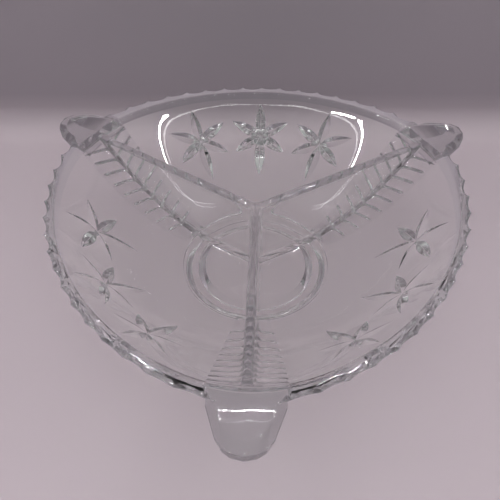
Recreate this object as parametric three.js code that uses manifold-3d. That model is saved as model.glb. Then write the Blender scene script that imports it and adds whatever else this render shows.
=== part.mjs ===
// Pressed-glass divided bowl: three compartments, a notched rim, three tab handles and a round foot.
// Millimetres, +Z up. The front arm (ribbed panel, divider and handle) points along -Y, and the back
// compartment faces +Y; both are repeated three times around the bowl's axis.
import * as THREE from 'three';
import { ConvexGeometry } from 'three/addons/geometries/ConvexGeometry.js';
import { mergeVertices } from 'three/addons/utils/BufferGeometryUtils.js';
import Module from 'manifold-3d';

const wasm = await Module();
wasm.setup();

// Bowl form
const rimHeight = 56;
const rimInnerRadius = 96.6;
const wallTurnRadius = 64;
const wallThickness = 4.2;
const cornerReach = 9.3;
const cornerTightness = 2.4;
const cornerShoulder = 1.4;
const cornerStartHeight = 12;
const cornerGrowth = 0.9;
const arms = 3;

// Foot and floor
const footRadius = 40.5;
const footRingWidth = 9.5;
const footDraft = 2;
const footHeight = 4.35;
const footEdge = 0.9;
const floorRadius = 32.8;

// Seams between the features of the pressing
const seam = 0.3;

// Notched rim
const rimBand = 6;
const rimTeeth = 16;
const notchDepth = 0.7;
const notchSharpness = 0.7;
const notchFade = 0.35;

// Ribbed panels under the dividers
const panelRootWidth = 16.6;
const panelFlare = 1.4;
const panelRibs = 10;
const ribDepth = 1.1;
const ribShoulder = 0.3;
const ribRunOut = 2;
const ribSpread = 0.8;

// Star cuts
const starRadius = 83.5;
const starSpacing = THREE.MathUtils.degToRad(26);
const starsPerWall = 3;
const starRays = 6;
const rayLength = 19;
const longRayLength = 26.4;
const rayWidth = 6.5;
const raySlope = 0.7;

// Dividers and the hub where they meet
const dividerFloorThickness = 5.6;
const dividerTopThickness = 4.2;
const dividerEdgeRound = 1.2;
const dividerCrownShare = 0.5;
const dividerFillet = 2;
const hubReach = 7.5;
const hubFillet = 4;
const hubTopDrop = 6;
const dividerEndDrop = 2.4;
const dividerEndRise = 0.8;

// Tab handles
const handleRootWidth = 30.6;
const handleReach = 20.2;
const handleRootDepth = 20;
const handleUndercut = 0.5;
const scoopWidth = 22.4;
const scoopReach = 15.5;
const scoopDepth = 2.7;
const scoopLowReach = 3;
const scoopFlare = 1.25;
const scoopFlareInset = 3;
const scoopInset = 9;
const scoopLand = 0.4;

// How far a cutter spreads past the surface that it opens
const cutSpread = 0.6;

// Facets
const wallColumns = 20;
const wallRows = 8;
const cornerColumns = 8;
const roundSides = 48;
const dividerSteps = 16;
const filletSteps = 4;
const floorTurnSteps = 2;

// Steps of the searches below
const halvings = 50;
const anglePasses = 4;

// A closed mesh from shared vertices, turned so that its faces point out
function closedGeometry(points, triangles) {
  let volume = 0;
  for (let i = 0; i < triangles.length; i += 3) {
    const [a, b, c] = [points[triangles[i]], points[triangles[i + 1]], points[triangles[i + 2]]];
    volume += a.dot(b.clone().cross(c));
  }
  const outward = volume > 0 ? triangles : triangles.toReversed();
  return new THREE.BufferGeometry().setFromPoints(points).setIndex(outward);
}

// Solid between two skins of a grid, where point(column, row, side) lies on skin 0 or skin 1
function gridSolid(columns, rows, point) {
  const points = [];
  const triangles = [];
  const at = (i, j, side) => (side * (columns + 1) + i) * (rows + 1) + j;
  const quad = (a, b, c, d) => triangles.push(a, b, c, a, c, d);
  for (const side of [0, 1]) {
    for (let i = 0; i <= columns; i++) {
      for (let j = 0; j <= rows; j++) points.push(point(i, j, side));
    }
  }
  for (let i = 0; i < columns; i++) {
    for (let j = 0; j < rows; j++) {
      quad(at(i, j, 0), at(i + 1, j, 0), at(i + 1, j + 1, 0), at(i, j + 1, 0));
      quad(at(i, j, 1), at(i, j + 1, 1), at(i + 1, j + 1, 1), at(i + 1, j, 1));
    }
    quad(at(i, 0, 0), at(i, 0, 1), at(i + 1, 0, 1), at(i + 1, 0, 0));
    quad(at(i, rows, 0), at(i + 1, rows, 0), at(i + 1, rows, 1), at(i, rows, 1));
  }
  for (let j = 0; j < rows; j++) {
    quad(at(0, j, 0), at(0, j + 1, 0), at(0, j + 1, 1), at(0, j, 1));
    quad(at(columns, j, 0), at(columns, j, 1), at(columns, j + 1, 1), at(columns, j + 1, 0));
  }
  return closedGeometry(points, triangles);
}

// Loft through closed sections with the same number of points, each end closed by a fan to its middle
function loftSolid(sections) {
  const sides = sections[0].length;
  const points = sections.flat();
  const triangles = [];
  for (let k = 0; k < sections.length - 1; k++) {
    for (let i = 0; i < sides; i++) {
      const [a, b] = [k * sides + i, k * sides + ((i + 1) % sides)];
      triangles.push(a, b, b + sides, a, b + sides, a + sides);
    }
  }
  const cap = (section, first, flip) => {
    const middle = section.reduce((sum, p) => sum.add(p), new THREE.Vector3()).divideScalar(sides);
    const tip = points.push(middle) - 1;
    for (let i = 0; i < sides; i++) {
      const [a, b] = [first + i, first + ((i + 1) % sides)];
      triangles.push(...(flip ? [tip, b, a] : [tip, a, b]));
    }
  };
  cap(sections[0], 0, true);
  cap(sections.at(-1), (sections.length - 1) * sides, false);
  return closedGeometry(points, triangles);
}

// Booleans
function toManifold(geometry) {
  const bare = geometry.clone().deleteAttribute('normal').deleteAttribute('uv');
  const merged = mergeVertices(bare);
  const vertProperties = new Float32Array(merged.getAttribute('position').array);
  const triVerts = new Uint32Array(merged.getIndex().array);
  return new wasm.Manifold(new wasm.Mesh({ numProp: 3, vertProperties, triVerts }));
}

function toGeometry(solid) {
  const mesh = solid.getMesh();
  const geometry = new THREE.BufferGeometry();
  geometry.setAttribute('position', new THREE.BufferAttribute(mesh.vertProperties, 3));
  geometry.setIndex(new THREE.BufferAttribute(mesh.triVerts, 1));
  return geometry;
}

function cut(geometry, cutters) {
  let solid = toManifold(geometry);
  for (const cutter of cutters) solid = solid.subtract(toManifold(cutter));
  return toGeometry(solid);
}

// The inside in section: one curve that leaves the flat floor and steepens towards the rim
const floorUnderside = footHeight + seam;
const floorTop = floorUnderside + wallThickness;
const floorEdge = new THREE.Vector2(floorRadius, floorTop);
const wallTurn = new THREE.Vector2(wallTurnRadius, floorTop);
const rimInside = new THREE.Vector2(rimInnerRadius, rimHeight);
const insideCurve = new THREE.QuadraticBezierCurve(floorEdge, wallTurn, rimInside);
const legs = [wallTurn.clone().sub(floorEdge), rimInside.clone().sub(wallTurn)];

// Point of the section at a share of the curve, where depth 1 is inside and 0 is its parallel outside
function profile(depth, share) {
  const along = legs[0].clone().lerp(legs[1], share).normalize();
  const outward = new THREE.Vector2(along.y, -along.x);
  return insideCurve.getPoint(share).addScaledVector(outward, (1 - depth) * wallThickness);
}

// Share of the curve where a rising measure of the section reaches a value, which may lie past the curve's end
const shareLimit = 1.3;

function shareWhere(measure, value) {
  let [low, high] = [0, shareLimit];
  for (let step = 0; step < halvings; step++) {
    const middle = (low + high) / 2;
    if (measure(middle) < value) low = middle;
    else high = middle;
  }
  return low;
}

const shareAtHeight = (depth, height) => shareWhere((share) => profile(depth, share).y, height);
const shareAtRadius = (depth, radius) => shareWhere((share) => profile(depth, share).x, radius);

// The plan swells from round at the foot to a soft triangle at the rim, with a corner at each arm and full shoulders
const rimRadiusCorner = profile(0, shareAtHeight(0, rimHeight)).x + cornerReach;

function cornerShare(height) {
  const rise = (height - cornerStartHeight) / (rimHeight - cornerStartHeight);
  return Math.max(rise, 0) ** cornerGrowth;
}

function planSwell(azimuth) {
  const turn = azimuth - Math.PI / 2;
  const corner = (1 - Math.cos(arms * turn)) / 2;
  const shoulder = (1 - Math.cos(2 * arms * turn)) / 2;
  return cornerReach * corner ** cornerTightness + cornerShoulder * shoulder;
}

const radiusAtArm = (section) => section.x + cornerReach * cornerShare(section.y);

function onBowl(section, azimuth, outward = 0) {
  const radius = section.x + outward + planSwell(azimuth) * cornerShare(section.y);
  return new THREE.Vector3(radius * Math.cos(azimuth), radius * Math.sin(azimuth), section.y);
}

const compartmentSpan = (2 * Math.PI) / arms;
const compartmentStart = Math.PI / 2 - compartmentSpan / 2;
const frontAzimuth = -Math.PI / 2;

// Angle from an arm's middle line to a point of the bowl that lies a distance to its side
function angleFromArm(section, distance) {
  let angle = 0;
  for (let pass = 0; pass < anglePasses; pass++) {
    const point = onBowl(section, frontAzimuth + angle);
    angle = Math.asin(distance / Math.hypot(point.x, point.y));
  }
  return angle;
}

// Azimuth at a share of the back compartment, whose two ends keep a distance from the arms' middle lines
function acrossCompartment(section, distance, share) {
  const inset = angleFromArm(section, distance);
  return compartmentStart + inset + (compartmentSpan - 2 * inset) * share;
}

// Azimuth at a share of the front arm's width
function acrossArm(section, halfWidth, share) {
  return frontAzimuth + angleFromArm(section, halfWidth) * (2 * share - 1);
}

// Half width of a ribbed panel, which widens quickly from the foot and hardly at all near the rim
const panelRimWidth = handleRootWidth + 2 * panelFlare;

function panelHalfWidth(radius) {
  const share = (rimRadiusCorner - radius) / (rimRadiusCorner - footRadius);
  return THREE.MathUtils.lerp(panelRimWidth, panelRootWidth, share ** 2) / 2;
}

// Shares of the section that a wall piece covers, outside and inside
const rimSeamHeight = rimHeight - rimBand;
const wallEnds = [0, 1].map((depth) => ({
  from: shareAtRadius(depth, footRadius),
  to: shareAtHeight(depth, rimSeamHeight - seam / 2),
}));

function wallSection(side, share, inset = 0) {
  const { from, to } = wallEnds[side];
  return profile(side + inset / wallThickness, THREE.MathUtils.lerp(from, to, share));
}

// A groove with a V section that follows a row of places, each with a point, its frame, a half width and a slope
function vGroove(places) {
  return loftSolid(places.map(({ point, across, outward, halfWidth, slope }) => {
    const reach = halfWidth + cutSpread;
    const mouth = point.clone().addScaledVector(outward, cutSpread * slope);
    return [
      mouth.clone().addScaledVector(across, -reach),
      mouth.clone().addScaledVector(across, reach),
      point.clone().addScaledVector(outward, -halfWidth * slope),
    ];
  }));
}

// Star cuts: leaf-shaped rays on the outside of the wall, the one towards the foot longer
const leafStations = [0, 0.25, 0.5, 0.75, 1];
const leafWidths = [0.1, 0.8, 1, 0.7, 0];
const starShare = shareAtRadius(0, starRadius);
const probe = 0.001;

function outsideAt(share, azimuth) {
  return onBowl(profile(0, share), azimuth);
}

function starRay(centreAzimuth, ray) {
  const centre = outsideAt(starShare, centreAzimuth);
  const mmPerShare = outsideAt(starShare + probe, centreAzimuth).distanceTo(centre) / probe;
  const heading = (2 * Math.PI * ray) / starRays;
  const length = ray === starRays / 2 ? longRayLength : rayLength;
  const place = (distance) => outsideAt(
    starShare + (distance * Math.cos(heading)) / mmPerShare,
    centreAzimuth + (distance * Math.sin(heading)) / starRadius,
  );
  const places = leafStations.map((station, k) => {
    const distance = station * length;
    const point = place(distance);
    const along = place(distance + probe).sub(place(distance - probe)).normalize();
    const inward = wallNormal(point);
    const across = along.clone().cross(inward).normalize();
    const halfWidth = (leafWidths[k] * rayWidth) / 2;
    return { point, across, outward: inward.negate(), halfWidth, slope: raySlope };
  });
  return vGroove(places);
}

// Inward normal of the outer wall at a point on it
function wallNormal(point) {
  const azimuth = Math.atan2(point.y, point.x);
  const share = shareAtHeight(0, point.z);
  const up = outsideAt(share + probe, azimuth).sub(outsideAt(share - probe, azimuth));
  const around = outsideAt(share, azimuth + probe).sub(outsideAt(share, azimuth - probe));
  return around.cross(up).normalize().negate();
}

// A profile of radius and height turned about the bowl's axis
function revolve(outline) {
  return new THREE.LatheGeometry(outline, roundSides).rotateX(Math.PI / 2);
}

// Foot ring, whose sides lean in towards a flat sole with softened edges
function footRing() {
  const innerRadius = footRadius - footRingWidth;
  const soleOuter = footRadius - footDraft;
  const soleInner = innerRadius + footDraft;
  const outline = [
    [soleInner + footEdge, 0],
    [soleOuter - footEdge, 0],
    [soleOuter, footEdge],
    [footRadius, footHeight],
    [innerRadius, footHeight],
    [soleInner, footEdge],
    [soleInner + footEdge, 0],
  ];
  return revolve(outline.map(([r, z]) => new THREE.Vector2(r, z)));
}

// Floor disc, whose rim takes up the first turn of the wall's inside
function bowlFloor() {
  const discRadius = footRadius - seam;
  const outline = [new THREE.Vector2(0, floorUnderside), new THREE.Vector2(discRadius, floorUnderside)];
  const turnEnd = shareAtRadius(1, discRadius);
  for (let step = floorTurnSteps; step >= 0; step--) {
    outline.push(profile(1, (turnEnd * step) / floorTurnSteps));
  }
  outline.push(new THREE.Vector2(0, floorTop));
  return revolve(outline);
}

// Wall of the back compartment, between the two panels beside it
function compartmentWall() {
  const wall = gridSolid(wallColumns, wallRows, (i, j, side) => {
    const section = wallSection(side, j / wallRows);
    const clearance = panelHalfWidth(radiusAtArm(section)) + seam / 2;
    return onBowl(section, acrossCompartment(section, clearance, i / wallColumns));
  });
  const cutters = [];
  for (let star = 0; star < starsPerWall; star++) {
    const azimuth = Math.PI / 2 + (star - (starsPerWall - 1) / 2) * starSpacing;
    for (let ray = 0; ray < starRays; ray++) cutters.push(starRay(azimuth, ray));
  }
  return cut(wall, cutters);
}

// Ribbed strip of wall under the front divider, with V grooves outside that run out before its side edges.
// The grooves lie about evenly along the wall, so the curve's share moves faster near the foot.
const groovePhase = 0.5;
const ribPhases = [0, groovePhase - ribShoulder, groovePhase, groovePhase + ribShoulder];
const grooveColumns = [-1, -0.5, 0, 0.5, 1];

function ribbedPanel() {
  const rows = panelRibs * ribPhases.length;
  const columns = grooveColumns.length + 1;
  return gridSolid(columns, rows, (i, j, side) => {
    const rib = Math.floor(j / ribPhases.length);
    const phase = ribPhases[j % ribPhases.length];
    const atEdge = i === 0 || i === columns;
    const isGroove = side === 0 && phase === groovePhase && !atEdge;
    const share = ((rib + phase) / panelRibs) ** ribSpread;
    const section = wallSection(side, share, isGroove ? ribDepth : 0);
    const halfWidth = panelHalfWidth(radiusAtArm(section)) - seam / 2;
    const edge = i === 0 ? -halfWidth : halfWidth;
    const lateral = atEdge ? edge : grooveColumns[i - 1] * (halfWidth - ribRunOut);
    return onBowl(section, frontAzimuth + angleFromArm(section, lateral));
  });
}

// Shares of the section that the rim covers, outside and inside
const rimFoot = rimSeamHeight + seam / 2;
const rimEnds = [0, 1].map((depth) => ({
  from: shareAtHeight(depth, rimFoot),
  to: shareAtHeight(depth, rimHeight),
}));
const notchFades = [0, notchFade, 1];
const rimRows = notchFades.length - 1;

function rimSection(side, row) {
  const { from, to } = rimEnds[side];
  return profile(side, THREE.MathUtils.lerp(from, to, row / rimRows));
}

// Rim band of the back compartment, with notches that fade out down its outside and none beside the handles
const toothPhases = [0, 0.22, 0.5, 0.78];

function rimBandSolid() {
  const steps = rimTeeth * toothPhases.length;
  return gridSolid(steps, rimRows, (i, j, side) => {
    const section = rimSection(side, j);
    const tooth = Math.floor(i / toothPhases.length);
    const phase = toothPhases[i % toothPhases.length];
    const lobe = Math.sin(Math.PI * phase) ** notchSharpness;
    const isNotched = side === 0 && i > 0 && i < steps;
    const notch = isNotched ? notchDepth * notchFades[j] * (1 - lobe) : 0;
    const clearance = handleRootWidth / 2 + seam;
    const azimuth = acrossCompartment(section, clearance, (tooth + phase) / rimTeeth);
    section.y -= notch;
    return onBowl(section, azimuth, -notch);
  });
}

// Dividers: plates that stand on the floor and the panel's inside, drafted towards a rounded top edge
const hubTop = rimHeight - hubTopDrop;
const dividerEndTop = rimHeight - dividerEndDrop;
const seatDepth = 1 + seam / wallThickness;
const seatFoot = floorTop + seam;

function seatHeight(radius) {
  const share = shareWhere((s) => radiusAtArm(profile(seatDepth, s)), radius);
  return Math.max(seatFoot, profile(seatDepth, share).y);
}

const dividerEnd = radiusAtArm(profile(seatDepth, shareAtHeight(seatDepth, dividerEndTop - dividerEndRise)));

// Half thickness of the plates between their foot fillet and their crown
function plateHalf(height) {
  const share = (height - floorTop) / (rimHeight - floorTop);
  return THREE.MathUtils.lerp(dividerFloorThickness, dividerTopThickness, share) / 2;
}

// Rows of a plate's side between a seat and a top edge: the foot fillet, the drafted side and the rounded crown
const filletSpreads = [1, 0.3, 0];
const filletHeights = filletSpreads.toReversed();
const lowPlateShare = 1 / 3;

function plateRows(seat, top) {
  const fillet = Math.min(dividerFillet, (top - seat) * lowPlateShare);
  const round = Math.min(dividerEdgeRound, (top - seat) * lowPlateShare);
  const rows = filletHeights.map((share, k) => {
    const height = seat + fillet * share;
    return { height, half: plateHalf(height) + fillet * filletSpreads[k] };
  });
  rows.push({ height: top - round, half: plateHalf(top - round) });
  rows.push({ height: top, half: plateHalf(top) * dividerCrownShare });
  return rows;
}

function dividerPlate() {
  const start = hubReach + seam;
  return gridSolid(dividerSteps, filletHeights.length + 1, (i, j, side) => {
    const radius = THREE.MathUtils.lerp(start, dividerEnd, i / dividerSteps);
    const top = THREE.MathUtils.lerp(hubTop, dividerEndTop, radius / dividerEnd);
    const { height, half } = plateRows(seatHeight(radius), top)[j];
    return new THREE.Vector3(side === 0 ? -half : half, -radius, height);
  });
}

// Hub: three short arms with filleted corners between them, drafted like the dividers
function hubSection(half, height) {
  const points = [];
  const bisector = compartmentSpan / 2;
  const filletDistance = (half + hubFillet) / Math.sin(bisector);
  const filletSweep = Math.PI - compartmentSpan;
  for (let arm = 0; arm < arms; arm++) {
    const azimuth = frontAzimuth + arm * compartmentSpan;
    const origin = new THREE.Vector2();
    const place = (x, y) => points.push(new THREE.Vector2(x, y).rotateAround(origin, azimuth));
    place(hubReach, -half);
    place(hubReach, half);
    for (let step = 0; step <= filletSteps; step++) {
      const angle = -Math.PI / 2 - filletSweep * (step / filletSteps);
      place(
        filletDistance * Math.cos(bisector) + hubFillet * Math.cos(angle),
        filletDistance * Math.sin(bisector) + hubFillet * Math.sin(angle),
      );
    }
  }
  return points.map(({ x, y }) => new THREE.Vector3(x, y, height));
}

function dividerHub() {
  return loftSolid(plateRows(seatFoot, hubTop).map(({ half, height }) => hubSection(half, height)));
}

// Tab handle at the front corner, where reach is measured outwards from the rim line
function onTongue(lateral, reach, height) {
  return new THREE.Vector3(lateral, -rimRadiusCorner - reach, height);
}

// Outline of the tongue and mouth of its scoop, as shares of their half width and reach, from the rim to the tip,
// and the share of the rim band's height that the outline's upright edge takes
const edgeWidths = [1, 0.71, 0.52, 0.31, 0];
const edgeReaches = [0, 0.62, 0.84, 0.95, 1];
const edgeHeights = [0.17, 0.17, 0.5, 0.68, 0.78];
const scoopWidths = [1, 0.92, 0.82, 0.625, 0.535, 0.375, 0.02];
const scoopReaches = [0, 0.26, 0.48, 0.71, 0.8, 0.87, 1];

// Faceted tongue: flat faces that lean from its upright edge to the narrow land around the scoop
function tongue() {
  const points = [];
  const place = (width, reach, height) => {
    points.push(onTongue(-width / 2, reach, height), onTongue(width / 2, reach, height));
  };
  const bandHeight = rimHeight - rimFoot;
  edgeWidths.forEach((share, k) => {
    for (const height of [rimFoot, rimFoot + edgeHeights[k] * bandHeight]) {
      if (k === 0) place(handleRootWidth, -handleRootDepth, height);
      place(share * handleRootWidth, edgeReaches[k] * handleReach, height);
    }
  });
  const landWidths = scoopWidths.map((share) => share * scoopWidth + 2 * scoopLand);
  place(landWidths[0], -handleRootDepth, rimHeight);
  landWidths.forEach((width, k) => place(width, scoopReaches[k] * scoopReach, rimHeight));
  points.push(onTongue(0, scoopReach + scoopLand, rimHeight));
  return new ConvexGeometry(points);
}

// Block that carries the rim's outside across the corner, between the two rim bands
function cornerBlock() {
  return gridSolid(cornerColumns, rimRows, (i, j, side) => {
    const section = rimSection(0, j);
    const point = onBowl(section, acrossArm(section, handleRootWidth / 2, i / cornerColumns));
    point.y += side * handleRootDepth;
    return point;
  });
}

// The space inside the wall at the front corner
function insideAtCorner() {
  const low = shareAtHeight(1, rimSeamHeight - rimBand);
  const high = shareAtHeight(1, rimHeight + rimBand);
  return gridSolid(cornerColumns, wallRows, (i, j, side) => {
    const section = profile(1, THREE.MathUtils.lerp(low, high, j / wallRows));
    const azimuth = acrossArm(section, handleRootWidth, i / cornerColumns);
    return onBowl(section, azimuth, side === 0 ? 0 : -2 * handleRootDepth);
  });
}

// Shield-shaped scoop with a crease, which opens into the bowl and rises along a curve to its tip
const scoopTipDepth = 0.02;

function thumbScoop() {
  const mouths = scoopWidths.map((share, k) => [scoopReaches[k] * scoopReach, share]);
  mouths.unshift([-scoopInset, scoopFlare], [-scoopFlareInset, scoopFlare]);
  return vGroove(mouths.map(([reach, share]) => {
    const rise = Math.max(reach - scoopLowReach, 0) / (scoopReach - scoopLowReach);
    const depth = Math.max(scoopDepth * (1 - rise ** 2), scoopTipDepth);
    const halfWidth = (share * scoopWidth) / 2;
    return {
      point: onTongue(0, reach, rimHeight),
      across: new THREE.Vector3(1, 0, 0),
      outward: new THREE.Vector3(0, 0, 1),
      halfWidth,
      slope: depth / halfWidth,
    };
  }));
}

// Wedge that thins the tongue from below towards its nose
function undercut() {
  const beyond = 2 * handleReach;
  const corners = [
    [0, rimFoot - rimBand],
    [beyond, rimFoot - rimBand],
    [beyond, rimFoot + 2 * handleUndercut],
    [0, rimFoot],
  ];
  const ends = [-handleRootWidth, handleRootWidth];
  return loftSolid(ends.map((lateral) => corners.map(([reach, height]) => onTongue(lateral, reach, height))));
}

function tabHandle() {
  const body = toManifold(tongue()).add(toManifold(cornerBlock()));
  return cut(toGeometry(body), [insideAtCorner(), thumbScoop(), undercut()]);
}

// Assembly
function glass() {
  return new THREE.MeshStandardMaterial({
    color: new THREE.Color(0.86, 0.88, 0.9),
    roughness: 0.05,
    metalness: 0,
    transparent: true,
    opacity: 0.35,
  });
}

function piece(name, geometry) {
  const mesh = new THREE.Mesh(geometry, glass());
  mesh.name = name;
  return mesh;
}

const bowl = new THREE.Group();
bowl.add(piece('foot_ring', footRing()));
bowl.add(piece('bowl_floor', bowlFloor()));
bowl.add(piece('divider_hub', dividerHub()));

const repeated = {
  wall: compartmentWall(),
  rim: rimBandSolid(),
  ribbed_panel: ribbedPanel(),
  divider: dividerPlate(),
  handle: tabHandle(),
};
const compartmentNames = ['back', 'left', 'right'];
const armNames = ['front', 'right', 'left'];
for (let turn = 0; turn < arms; turn++) {
  const third = new THREE.Group();
  third.rotation.z = turn * compartmentSpan;
  for (const [kind, geometry] of Object.entries(repeated)) {
    const names = kind === 'wall' || kind === 'rim' ? compartmentNames : armNames;
    third.add(piece(`${kind}_${names[turn]}`, geometry));
  }
  bowl.add(third);
}

// The origin is on the table, under the middle of the bowl's plan
const extent = new THREE.Box3().setFromObject(bowl);
const middle = extent.getCenter(new THREE.Vector3());
bowl.position.set(-middle.x, -middle.y, -extent.min.z);

const dividedBowl = new THREE.Group();
dividedBowl.add(bowl);

export default dividedBowl;
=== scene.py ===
import math

import bmesh
import bpy
import numpy as np
from mathutils import Matrix, Vector


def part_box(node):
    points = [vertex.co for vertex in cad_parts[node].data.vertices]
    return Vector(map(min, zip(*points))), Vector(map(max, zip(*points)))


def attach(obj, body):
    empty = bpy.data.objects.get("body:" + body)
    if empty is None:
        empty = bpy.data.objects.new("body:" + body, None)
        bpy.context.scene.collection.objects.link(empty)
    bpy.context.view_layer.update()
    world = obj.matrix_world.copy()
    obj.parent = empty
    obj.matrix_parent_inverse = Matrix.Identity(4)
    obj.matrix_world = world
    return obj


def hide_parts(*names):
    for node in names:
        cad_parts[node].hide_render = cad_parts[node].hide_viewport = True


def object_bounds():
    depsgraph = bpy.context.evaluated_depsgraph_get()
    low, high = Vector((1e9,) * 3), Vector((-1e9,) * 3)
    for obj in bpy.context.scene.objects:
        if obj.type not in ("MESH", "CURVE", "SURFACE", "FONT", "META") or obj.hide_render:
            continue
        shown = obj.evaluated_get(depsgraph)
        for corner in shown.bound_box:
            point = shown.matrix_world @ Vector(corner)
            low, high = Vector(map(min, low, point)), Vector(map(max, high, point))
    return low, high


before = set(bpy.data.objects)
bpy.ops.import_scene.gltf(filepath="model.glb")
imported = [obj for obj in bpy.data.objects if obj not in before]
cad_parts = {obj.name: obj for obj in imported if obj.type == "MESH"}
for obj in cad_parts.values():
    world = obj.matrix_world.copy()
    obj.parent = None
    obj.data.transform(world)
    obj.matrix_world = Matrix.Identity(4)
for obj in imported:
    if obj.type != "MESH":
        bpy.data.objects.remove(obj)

# Clear pressed-glass divided bowl. Shapes are worked out in millimetres about the bowl's own axis, with the
# front arm along -Y and the back compartment towards +Y, and then placed in the frame in metres.
MM = 0.001
cad_low, cad_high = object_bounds()
foot_low, foot_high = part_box("foot_ring")
bowl_axis = (foot_low + foot_high) / 2 / MM

# Bowl form
RIM_HEIGHT = (cad_high.z - cad_low.z) / MM
RIM_INNER_RADIUS = 96.6
WALL_TURN_RADIUS = 67.0
WALL_THICKNESS = 4.2
CORNER_REACH = 9.3
CORNER_TIGHTNESS = 2.55
CORNER_SHOULDER = 1.6
CORNER_START_HEIGHT = 12.0
CORNER_GROWTH = 1.17
ARMS = 3

# Foot and floor
FOOT_RADIUS = (foot_high.x - foot_low.x) / 2 / MM
FOOT_RING_WIDTH = 12.5
FOOT_DRAFT = 4.0
FOOT_FILLET = 1.8
FOOT_HEIGHT = (foot_high.z - foot_low.z) / MM
FOOT_EDGE = 0.8
FLOOR_RADIUS = 24.8
SEAM = 0.3

# Notched rim
RIM_BAND = 6.0
RIM_TEETH = 16
NOTCH_DEPTH = 1.2
NOTCH_SHARPNESS = 0.9
NOTCH_VARIATION = 0.3
NOTCH_VARIATION_STEP = 7.3
NOTCH_VARIATION_DRIFT = 1.4
NOTCH_LIP_SHARE = 0.8
NOTCH_RUN_OUT = 1.5
RIM_LIP = 1.3
RIM_EDGE = 0.7
RIM_CROWN = 0.25
RIM_SHOULDER = 0.8
RIM_FLARE = 0.4
RIM_END_FLARE = 1.8
FLARE_ONSET = 0.7

# Ribbed panels under the dividers
PANEL_ROOT_WIDTH = 16.6
PANEL_RIM_WIDTH = 33.4
PANEL_LENGTH = 68.0
PANEL_RIBS = 10
RIB_ROUNDING = 0.6
RIB_FULLNESS = 0.8
RIB_CUT = 0.8
RIB_CUT_SHARE = 0.12
RIB_RUN_OUT = 2.0
RIB_SPREAD = 0.8
RIB_CLIMB = 0.33
RIB_CLIMB_FADE = 0.1

# Star cuts
STAR_RADIUS = 83.5
STAR_SPACING = math.radians(26.0)
STARS_PER_WALL = 3
STAR_RAYS = 6
RAY_LENGTH = 19.0
LONG_RAY_LENGTH = 26.4
RAY_WIDTH = 6.5
RAY_SLOPE = 1.0
LEAF_LEAN = 0.8
LEAF_FULLNESS = 0.9
LEAF_TIP = 0.02
CUT_SPREAD = 0.6

# Dividers and the hub where they meet
DIVIDER_FLOOR_THICKNESS = 5.6
DIVIDER_TOP_THICKNESS = 4.2
DIVIDER_EDGE = 2.0
DIVIDER_FILLET = 2.0
HUB_REACH = 7.5
HUB_FILLET = 4.0
HUB_TOP_DROP = 6.0
DIVIDER_END_DROP = 2.4
DIVIDER_END_RISE = 0.25
ROUNDING_LIMIT = 3

# Tab handles
HANDLE_ROOT_WIDTH = 30.6
HANDLE_REACH = 20.2
HANDLE_ROOT_DEPTH = 20.0
HANDLE_UNDERCUT = 0.5
SCOOP_WIDTH = 22.4
SCOOP_REACH = 15.5
SCOOP_DEPTH = 2.7
SCOOP_LOW_REACH = 8.2
SCOOP_BOW = 0.009
SCOOP_RISE = 1.3
SCOOP_STATIONS = 33
SCOOP_FLARE = 1.25
SCOOP_FLARE_INSET = 3.0
SCOOP_INSET = 9.0
SCOOP_LAND = 0.4
EDGE_WIDTHS = [1, 0.71, 0.52, 0.31, 0]
EDGE_REACHES = [0, 0.62, 0.84, 0.95, 1]
EDGE_HEIGHTS = [0.17, 0.17, 0.5, 0.68, 0.78]
SCOOP_WIDTHS = [1, 0.92, 0.82, 0.625, 0.535, 0.375, 0.02]
SCOOP_REACHES = [0, 0.26, 0.48, 0.71, 0.8, 0.87, 1]
SCOOP_TIP_DEPTH = 0.02
HULL_LIFT = 0.02

# Facets of the finished meshes
WALL_COLUMNS = 120
WALL_ROWS = 72
LIP_ROWS = 14
EDGE_STEPS = 4
SIDE_STEPS = 6
ROUND_SIDES = 144
FOOT_COLUMNS = 8
FLOOR_COLUMNS = 40
HUB_CORNER_STEPS = 3 * EDGE_STEPS
PLATE_FLOOR_STEPS = 24
PLATE_WALL_STEPS = 64
LEAF_STATIONS = np.linspace(0, 1, 13)
PANEL_SIDE_COLUMNS = 10
RIB_STEPS = 20
TOOTH_STEPS = 12
RIM_ROWS = 8
CORNER_COLUMNS = 24
CORNER_SEAM_ROWS = 3
HANDLE_ROWS = 8
SMOOTH_ANGLE = math.radians(28)
FACET_ANGLE = math.radians(4)
HULL_FLAT_ANGLE = math.radians(0.5)

# Accuracy of the working
SHARE_LIMIT = 1.2
SHARE_SAMPLES = 4801
SOLVE_PASSES = 5
PROBE = 1e-3
WELD = 1e-4
SLIVER = 1e-5

# Glass: tint, ripples for each metre, ripple height in metres, most roughness, share of lamp light let
# through, and radius of softened edges in metres
GLASSES = {
    "pressed_glass": ((0.99, 1.0, 0.995), 60.0, 0.000004, 0.006, 0.985, 0.0),
    "cut_glass": ((0.99, 1.0, 0.995), 240.0, 0.000004, 0.008, 0.97, 0.0003),
    "rim_glass": ((0.87, 0.905, 0.92), 420.0, 0.00005, 0.02, 0.9, 0.0),
    # The tab glass's grey tint is painted shade: it darkens the handles to stand in for the shadow they throw
    # on the card under them
    "tab_glass_painted_shade": ((0.74, 0.755, 0.76), 60.0, 0.000004, 0.006, 0.86, 0.0012),
    "deep_glass": ((0.6, 0.62, 0.63), 60.0, 0.000004, 0.006, 0.9, 0.0),
    "ribbed_glass": ((0.9, 0.91, 0.915), 240.0, 0.000004, 0.008, 0.95, 0.0),
}
GLASS_IOR = 1.52
RIPPLE_DETAIL = 2.0
POLISH_DETAIL = 4.0
POLISH_FINENESS = 3
EDGE_SAMPLES = 6

# Camera, in millimetres about the bowl's axis
CAMERA_AZIMUTH = math.radians(2.30)
CAMERA_ELEVATION = math.radians(47.05)
CAMERA_DISTANCE = 282.9
CAMERA_TARGET = (-2.3, -17.7, 36.0)
CAMERA_LENS = 40.7
CAMERA_NEAR = 10.0

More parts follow.
